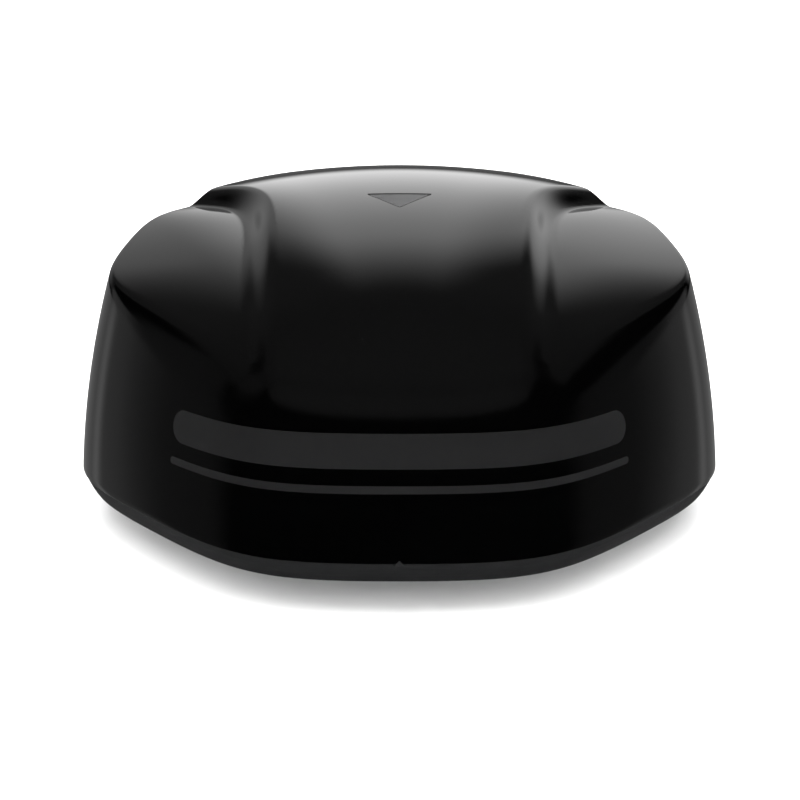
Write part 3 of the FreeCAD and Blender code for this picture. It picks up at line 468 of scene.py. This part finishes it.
# ------------------------------------------------------------------ markings on the cover
MARK_Z = 103.0  # height at which distances round the front are measured
MARK_LIFT = 0.12
MARK_SINK = -0.4
BAND_HALF = 168.0
BAND_STEPS = 160
BAND_ROWS = ((110.0, 22.0), (86.0, 5.0))  # height and width of each band
FRONT_ANGLES = np.linspace(-math.pi, 0.0, 721)
SMALLEST_HALF = 0.1


def distances_round_front():
    """Distance round the wall from the front centre line, at each of FRONT_ANGLES."""
    r = plan_radius(FRONT_ANGLES) - wall_inset(MARK_Z)
    x, y = r * np.cos(FRONT_ANGLES), r * np.sin(FRONT_ANGLES)
    length = np.concatenate([[0.0], np.cumsum(np.hypot(np.diff(x), np.diff(y)))])
    return length - length[len(length) // 2]


FRONT_LENGTH = distances_round_front()


def on_wall(point, out):
    """Place on the wall of a point (along, z): along is the distance round from the front centre line."""
    along, z = point
    angle = np.interp(along, FRONT_LENGTH, FRONT_ANGLES)
    r = float(plan_radius(angle)) - float(wall_inset(z)) + out
    return (r * math.cos(angle), r * math.sin(angle), z)


def band(line, width):
    """Thin closed band with rounded ends along a line of (along, z) points on the wall."""
    line = [np.array(point, float) for point in line]
    length = sum(np.linalg.norm(b - a) for a, b in zip(line, line[1:]))
    verts, faces = [], []
    walked = 0.0
    for k, point in enumerate(line):
        if k:
            walked += np.linalg.norm(point - line[k - 1])
        way = line[min(k + 1, len(line) - 1)] - line[max(k - 1, 0)]
        way = way / np.linalg.norm(way)
        across = np.array([-way[1], way[0]])
        end = min(walked, length - walked)
        half = width / 2
        if end < half:
            half = math.sqrt(max(half * half - (half - end) ** 2, SMALLEST_HALF ** 2))
        left = point + across * half
        right = point - across * half
        verts += [on_wall(left, MARK_LIFT), on_wall(right, MARK_LIFT)]
        verts += [on_wall(right, MARK_SINK), on_wall(left, MARK_SINK)]
        if k:
            faces += loops_joined(4, 4 * k - 4, 4 * k)
    faces.append((3, 2, 1, 0))
    faces.append(tuple(range(len(verts) - 4, len(verts))))
    return verts, faces


def end_heavy(start, end, count):
    """Numbers from start to end, closer together near both ends."""
    return [start + (end - start) * 0.5 * (1 - math.cos(math.pi * k / count)) for k in range(count + 1)]


def build_marks():
    """Two plain bands round the front of the wall."""
    stops = end_heavy(-BAND_HALF, BAND_HALF, BAND_STEPS)
    verts, faces = joined([band([(along, z) for along in stops], width) for z, width in BAND_ROWS])
    made = make_object("front_mark", verts, faces, MATERIALS["front_mark"], smooth=False)
    fix_normals(made)
    return made


front_mark = build_marks()
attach(front_mark, "cover")

ARROW_HALF = 27.0
ARROW_BACK = 16.0
ARROW_TIP = -18.0
ARROW_LIFT = 0.28
# depth of the painted shadow strip along the arrow's back
ARROW_SHADOW_STRIP = 3.4
ARROW_ROWS = 40
ARROW_ACROSS = 16
ARROW_LEAST = 0.15
# how much the corners lose in width, and over how short a share of the length
TIP_LOSS, TIP_SHORT = 1.2, 14
BACK_LOSS, BACK_SHORT = 1.0, 30
SHARP_SMALL = math.radians(35)


def on_top(x, y, out):
    return (x, y, float(top_height(x, y)) + out)


def arrow_half(t):
    """Half width of the arrow from its back (t 0) to its tip (t 1), with softened corners."""
    tip_loss = TIP_LOSS * math.exp(-((1 - t) * TIP_SHORT) ** 2)
    back_loss = BACK_LOSS * math.exp(-(t * BACK_SHORT) ** 2)
    return max(ARROW_HALF * (1 - t) - tip_loss - back_loss, ARROW_LEAST)


def build_arrow():
    """Grey triangle that points forward, with a painted shadow at its back: a dark strip that stands in for
    the shade of a recess's rear wall.
    """
    verts, faces = [], []
    loop = 2 * (ARROW_ACROSS + 1)
    for row, t in enumerate(end_heavy(0.0, 1.0, ARROW_ROWS)):
        y = ARROW_BACK + (ARROW_TIP - ARROW_BACK) * t
        half = arrow_half(t)
        xs = [-half + 2 * half * k / ARROW_ACROSS for k in range(ARROW_ACROSS + 1)]
        verts += [on_top(x, y, ARROW_LIFT) for x in xs]
        verts += [on_top(x, y, MARK_SINK) for x in reversed(xs)]
        if row:
            faces += loops_joined(loop, loop * (row - 1), loop * row)
    faces.append(tuple(range(loop)))
    faces.append(tuple(range(loop * ARROW_ROWS, loop * ARROW_ROWS + loop)))
    made = make_object("arrow", verts, faces, MATERIALS["arrow_grey"])
    fix_normals(made)
    # the faces along the back get the dark finish, which is painted shadow and not the arrow's own colour
    made.data.materials.append(MATERIALS["arrow_painted_shadow"])
    for face in made.data.polygons:
        if face.center.y > (ARROW_BACK - ARROW_SHADOW_STRIP) * MM:
            face.material_index = 1
    made.data.set_sharp_from_angle(angle=SHARP_SMALL)
    return made


arrow = build_arrow()
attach(arrow, "cover")
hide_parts("heading_arrow")

# ------------------------------------------------------------------ inside of the cover's rim
BOSS_INSET = 17.0
BOSS_R = 6.0
BOSS_BORE = 4.0
BOSS_FROM = 39.0
BOSS_TO = 52.3
BOSS_ROUND = 0.8
BORE_ROUND = 0.3
BOSS_SIDES = 32
BOSSES = 8
RIBS = 24
RIB_GAP = 3.0
RIB_HALF = 1.1
RIB_SOFT = 0.35
RIB_FROM = FLANGE_TOP - 0.6
RIB_TO = SEAM_Z + 11.0


def lathe(profile, x, y):
    """Ring-shaped solid round an upright axis, from its (radius, height) section."""
    verts, faces = [], []
    for k in range(BOSS_SIDES):
        angle = 2 * math.pi * k / BOSS_SIDES
        for radius, z in profile:
            verts.append((x + radius * math.cos(angle), y + radius * math.sin(angle), z))
    size = len(profile)
    for k in range(BOSS_SIDES):
        a, b = size * k, size * ((k + 1) % BOSS_SIDES)
        for c in range(size):
            d = (c + 1) % size
            faces.append((a + c, b + c, b + d, a + d))
    return verts, faces


def slab(angle, near, far):
    """Upright rib that runs out from radius near to radius far."""
    section = ((-RIB_HALF, RIB_FROM), (RIB_HALF, RIB_FROM), (RIB_HALF, RIB_TO - RIB_SOFT),
               (RIB_HALF - RIB_SOFT, RIB_TO), (RIB_SOFT - RIB_HALF, RIB_TO),
               (-RIB_HALF, RIB_TO - RIB_SOFT))
    verts = []
    for radius in (near, far):
        for across, z in section:
            verts.append((radius * math.cos(angle) - across * math.sin(angle),
                          radius * math.sin(angle) + across * math.cos(angle), z))
    count = len(section)
    faces = [tuple(range(count)), tuple(range(2 * count - 1, count - 1, -1))]
    return verts, faces + loops_joined(count, 0, count)


def build_rim_parts():
    """Screw bosses and stiffening ribs that stand on the cover's flange."""
    boss = [(BOSS_BORE, BOSS_FROM), (BOSS_R, BOSS_FROM), (BOSS_R, BOSS_TO - BOSS_ROUND),
            (BOSS_R - BOSS_ROUND, BOSS_TO), (BOSS_BORE + BORE_ROUND, BOSS_TO),
            (BOSS_BORE, BOSS_TO - BORE_ROUND)]
    solids = []
    for k in range(BOSSES):
        angle = math.radians(22.5 + 45.0 * k)
        r = float(plan_radius(angle)) - BOSS_INSET
        solids.append(lathe(boss, r * math.cos(angle), r * math.sin(angle)))
    for k in range(RIBS):
        angle = math.radians(360 // RIBS * k)
        r = float(plan_radius(angle))
        solids.append(slab(angle, r - FLANGE_INSET + RIB_GAP, r - RIB_GAP))
    made = make_object("rim_ribs", *joined(solids), MATERIALS["cover_inside"])
    fix_normals(made)
    made.data.set_sharp_from_angle(angle=SHARP_SMALL)
    return made


rim_ribs = build_rim_parts()
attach(rim_ribs, "cover")

# ------------------------------------------------------------------ alignment mark on the front of the rim
NIB_HALF = 3.2
NIB_TIP = 0.35
NIB_LOW = 37.4
NIB_HIGH = 40.6
NIB_PROUD = 0.3
NIB_DEEP = 2.2


def build_nib():
    """Small pointed mark on the base, in front of the cover's lower edge."""
    front = -(HALF_FLAT + NIB_PROUD)
    outline = ((-NIB_HALF, NIB_LOW), (NIB_HALF, NIB_LOW), (NIB_TIP, NIB_HIGH), (-NIB_TIP, NIB_HIGH))
    verts = [(x, front, z) for x, z in outline]
    verts += [(x, front + NIB_DEEP, z) for x, z in outline]
    faces = [(0, 1, 2, 3), (7, 6, 5, 4)] + loops_joined(4, 0, 4)
    made = make_object("front_nib", verts, faces, MATERIALS["base_plastic"], smooth=False)
    fix_normals(made)
    return made


front_nib = build_nib()
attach(front_nib, "base")

# ------------------------------------------------------------------ stage (metres)
FLOOR_HOLE = 0.5  # radius of the innermost ring, which one flat face fills
FLOOR_R = 2.2
SWEEP_R = 1.6
SWEEP_STEPS = 16
BACKDROP_TOP = 5.0
FLOOR_SIDES = 96


def build_floor():
    """Round floor that sweeps up into a backdrop all round."""
    profile = [(FLOOR_HOLE, 0.0), (FLOOR_R, 0.0)]
    for k in range(1, SWEEP_STEPS + 1):
        turn = math.pi / 2 * k / SWEEP_STEPS
        profile.append((FLOOR_R + SWEEP_R * math.sin(turn), SWEEP_R * (1 - math.cos(turn))))
    profile.append((FLOOR_R + SWEEP_R, BACKDROP_TOP))
    turns = [2 * math.pi * k / FLOOR_SIDES for k in range(FLOOR_SIDES)]
    build = bmesh.new()
    rows = [[build.verts.new((r * math.cos(t), r * math.sin(t), z)) for t in turns] for r, z in profile]
    build.faces.new(rows[0])
    for low, high in zip(rows, rows[1:]):
        for k in range(FLOOR_SIDES):
            after = (k + 1) % FLOOR_SIDES
            build.faces.new((low[k], high[k], high[after], low[after]))
    mesh = bpy.data.meshes.new("floor")
    build.to_mesh(mesh)
    build.free()
    mesh.shade_smooth()
    material, nodes, _ = new_material("floor")
    shader = nodes["Principled BSDF"]
    shader.inputs["Base Color"].default_value = (0.86, 0.86, 0.86, 1)
    shader.inputs["Roughness"].default_value = 0.9
    shader.inputs["Specular IOR Level"].default_value = 0.1
    mesh.materials.append(material)
    made = bpy.data.objects.new("floor", mesh)
    bpy.context.scene.collection.objects.link(made)
    made.visible_glossy = False
    return made


floor = build_floor()


# ------------------------------------------------------------------ lights (metres, watts)
def area_light(name, place, aim, size, power):
    data = bpy.data.lights.new(name, "AREA")
    data.shape = "RECTANGLE"
    data.size, data.size_y = size
    data.energy = power
    lamp = bpy.data.objects.new(name, data)
    lamp.location = place
    lamp.rotation_euler = (Vector(aim) - Vector(place)).to_track_quat("-Z", "Y").to_euler()
    lamp.visible_glossy = False
    lamp.visible_camera = False
    bpy.context.scene.collection.objects.link(lamp)


area_light("overhead", (0, 0.3, 3.2), (0, 0.3, 0), (4.5, 4.5), 190.0)
# four lights that whiten the backdrop, the strongest behind the object
for side, power in enumerate((90.0, 60.0, 60.0, 60.0)):
    turn = math.pi / 2 * side
    out = Vector((math.sin(turn), math.cos(turn), 0))
    area_light("backdrop_wash_%d" % side, out * 1.0 + Vector((0, 0, 2.6)), out * 3.9 + Vector((0, 0, 0.6)),
               (5.0, 1.5), power)
area_light("front_low", (0, -1.7, 0.22), (0, -0.15, 0.0), (3.0, 0.4), 22.0)

# ------------------------------------------------------------------ what the gloss reflects
# The world is a dark studio with soft bright patches. It is drawn by direction, in degrees:
# azimuth is 0 straight behind the object and grows to the right, height is 0 at the horizon.
world = bpy.data.worlds.new("studio")
bpy.context.scene.world = world
world.use_nodes = True
nodes, links = world.node_tree.nodes, world.node_tree.links
nodes.clear()


def wire(kind, **values):
    node = nodes.new(kind)
    for key, value in values.items():
        setattr(node, key, value)
    return node


def step(source, low, high, from_value=0.0, to_value=1.0):
    """from_value below low, to_value above high, smooth between."""
    node = wire("ShaderNodeMapRange", interpolation_type="SMOOTHSTEP", clamp=True)
    for key, value in (("From Min", low), ("From Max", high), ("To Min", from_value), ("To Max", to_value)):
        node.inputs[key].default_value = value
    links.new(source, node.inputs["Value"])
    return node.outputs["Result"]


def maths(operation, *sources):
    node = wire("ShaderNodeMath", operation=operation)
    for k, source in enumerate(sources):
        if isinstance(source, (int, float)):
            node.inputs[k].default_value = source
        else:
            links.new(source, node.inputs[k])
    return node.outputs[0]


def between(source, rise_from, rise_to, fall_from, fall_to):
    """1 in the middle of a range, with soft edges."""
    return maths("MULTIPLY", step(source, rise_from, rise_to), step(source, fall_from, fall_to, 1.0, 0.0))


def patch(strength, *shapes):
    """Strength times every shape."""
    product = strength
    for shape in shapes:
        product = maths("MULTIPLY", shape, product)
    return product


direction = wire("ShaderNodeTexCoord")
split = wire("ShaderNodeSeparateXYZ")
links.new(direction.outputs["Generated"], split.inputs[0])
east, north, up = split.outputs
DEGREE = 180.0 / math.pi
azimuth = maths("MULTIPLY", maths("ARCTAN2", east, north), DEGREE)
height = maths("MULTIPLY", maths("ARCSINE", up), DEGREE)
aside = maths("ABSOLUTE", azimuth)
# the softbox behind the object: brightest in the middle, its top edge lower towards its ends
reach = maths("ADD", step(azimuth, -60, -20, 0.0, 0.6), step(azimuth, -16, -7, 0.0, 1.4))
reach = maths("SUBTRACT", reach, step(azimuth, 5, 13, 0.0, 0.65))
reach = maths("SUBTRACT", reach, step(azimuth, 16, 30, 0.0, 0.3))
droop = maths("ADD", step(aside, 6, 24, 0.0, 13.0), step(aside, 20, 36, 0.0, 11.0))
raised = maths("ADD", height, droop)
# the dim ceiling starts higher at the sides, and a little less so in front of the object
ceiling_height = maths("SUBTRACT", height, step(aside, 42, 62, 0.0, 24.0))
ceiling_height = maths("ADD", ceiling_height, step(aside, 120, 155, 0.0, 8.0))
STUDIO = (
    patch(1.0, reach, step(azimuth, 30, 50, 1.0, 0.0), step(height, 5, 11), step(raised, 42, 59, 1.0, 0.0),
          step(height, 14, 44, 1.0, 0.72)),
    # light that comes back low from the sides
    patch(0.27, between(aside, 50, 60, 72, 84), between(height, -60, -40, 20, 28)),
    patch(0.30, between(aside, 8, 30, 58, 66), between(height, -75, -35, -3, 4)),
    patch(0.15, step(aside, 14, 30, 1.0, 0.0), between(height, -75, -35, 3, 9)),
    # wide strips at the left and right
    patch(0.08, between(azimuth, -118, -98, -84, -72), step(height, 48, 58, 1.0, 0.0)),
    patch(0.07, between(azimuth, 72, 84, 98, 118), step(height, 20, 30, 1.0, 0.0)),
    # dim ceiling
    step(ceiling_height, 24, 36, 0.0, 0.085),
    # faint glow from the front, which shows the shape from behind
    patch(0.05, step(aside, 120, 155), between(height, 42, 58, 62, 80)),
    # a little more straight above
    step(height, 60, 85, 0.0, 0.035),
)
total = 0.0
for light in STUDIO:
    total = maths("ADD", light, total)
background = wire("ShaderNodeBackground")
links.new(total, background.inputs["Strength"])
output = wire("ShaderNodeOutputWorld")
links.new(background.outputs[0], output.inputs[0])

# ------------------------------------------------------------------ camera, fitted to the photo
CAMERA_BACK = 900.0
CAMERA_UP = 351.1
CAMERA_DOWN = 0.265
SENSOR = 36.0
FOCAL = 1.39775  # in picture widths
SHIFT_X = 0.000625
SHIFT_Y = -0.057375

camera_data = bpy.data.cameras.new("camera")
camera = bpy.data.objects.new("camera", camera_data)
bpy.context.scene.collection.objects.link(camera)
camera.location = (0, -CAMERA_BACK * MM, CAMERA_UP * MM)
camera.rotation_euler = (math.pi / 2 - CAMERA_DOWN, 0, 0)
camera_data.sensor_width = SENSOR
camera_data.lens = SENSOR * FOCAL
camera_data.shift_x = SHIFT_X
camera_data.shift_y = SHIFT_Y
camera_data.clip_start = 0.01
bpy.context.scene.camera = camera
bpy.context.scene.view_settings.view_transform = "Standard"
